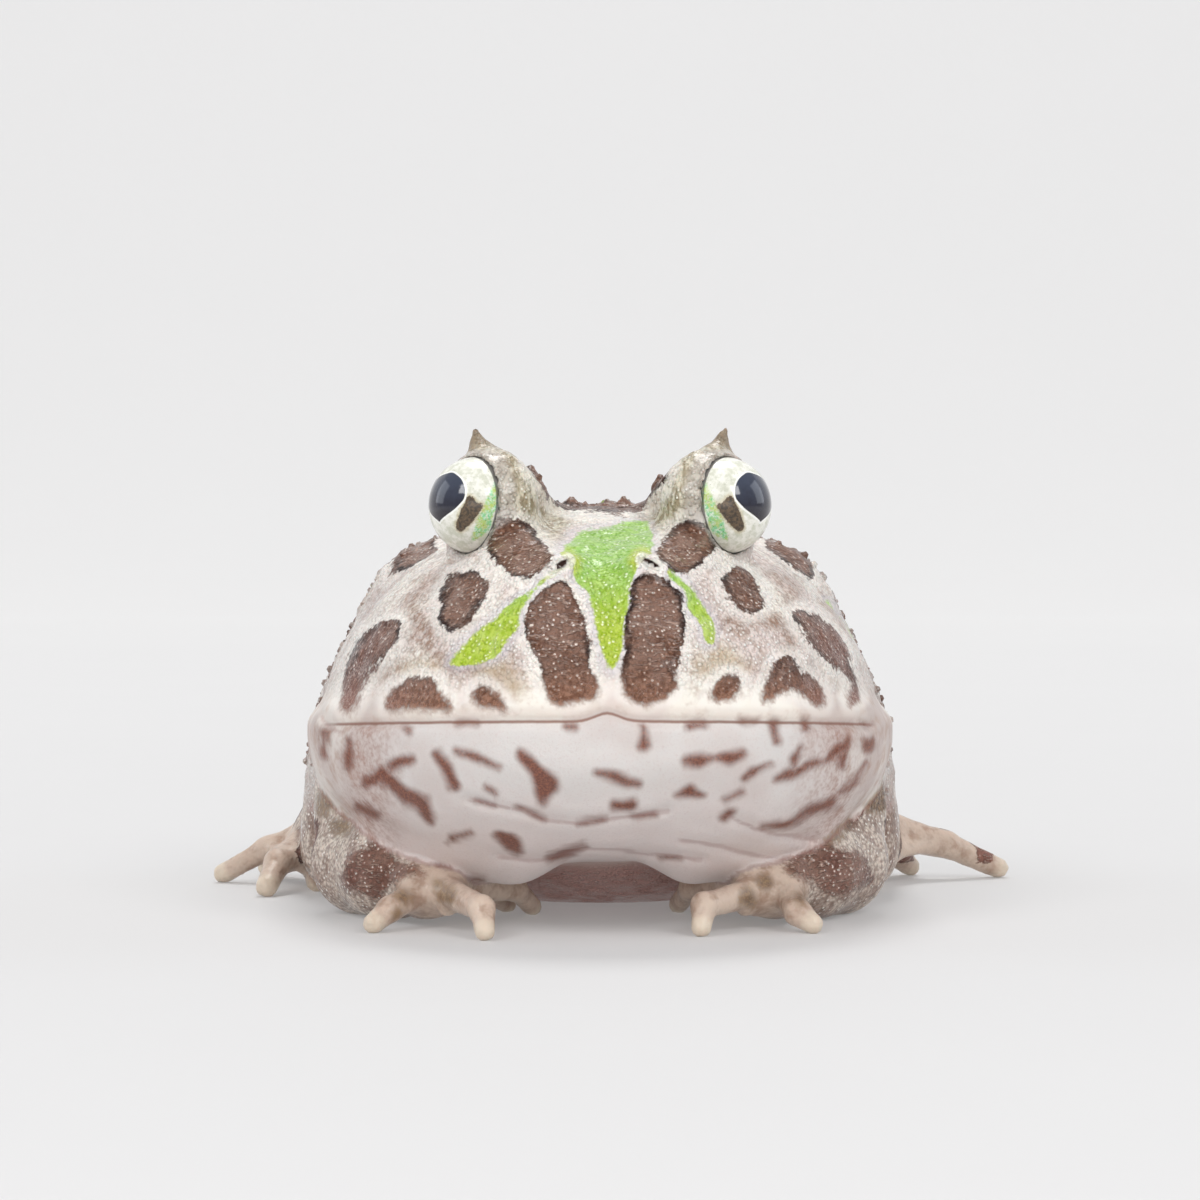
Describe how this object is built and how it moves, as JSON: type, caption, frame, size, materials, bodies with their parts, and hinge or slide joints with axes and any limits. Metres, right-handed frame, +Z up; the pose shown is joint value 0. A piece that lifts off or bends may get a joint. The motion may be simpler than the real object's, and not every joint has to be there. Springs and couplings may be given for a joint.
{
  "type": "horned frog museum model",
  "caption": "Life-size still model of a squatting Argentine horned frog with shut wide mouth, horned lids and spread toes, resting on belly, hands, knees and feet.",
  "frame": {"origin": "on the floor under the middle of the whole animal's box", "axes": "the frog faces -Y; +Z is up from the floor it rests on; +X is the frog's own left"},
  "size_m": [0.102, 0.1021, 0.057],
  "materials": {
    "back_skin": "damp granular skin, cream with brown blotches",
    "throat_skin": "smooth damp skin, white",
    "limb_skin": "damp skin, cream with brown bars",
    "horn_skin": "tan pointed skin",
    "eye_surface": "wet clear surface over a silver iris and a dark pupil"
  },
  "bodies": {
    "root": {"head": "back_skin", "lower_jaw": "throat_skin", "torso": "back_skin", "horn_left": "horn_skin", "horn_right": "horn_skin", "eye_left": "eye_surface", "eye_right": "eye_surface", "upper_arm_left": "limb_skin", "upper_arm_right": "limb_skin", "forearm_left": "limb_skin", "forearm_right": "limb_skin", "hand_left": "limb_skin", "hand_right": "limb_skin", "thigh_left": "limb_skin", "thigh_right": "limb_skin", "shank_left": "limb_skin", "shank_right": "limb_skin", "foot_left": "limb_skin", "foot_right": "limb_skin"}
  },
  "joints": []
}
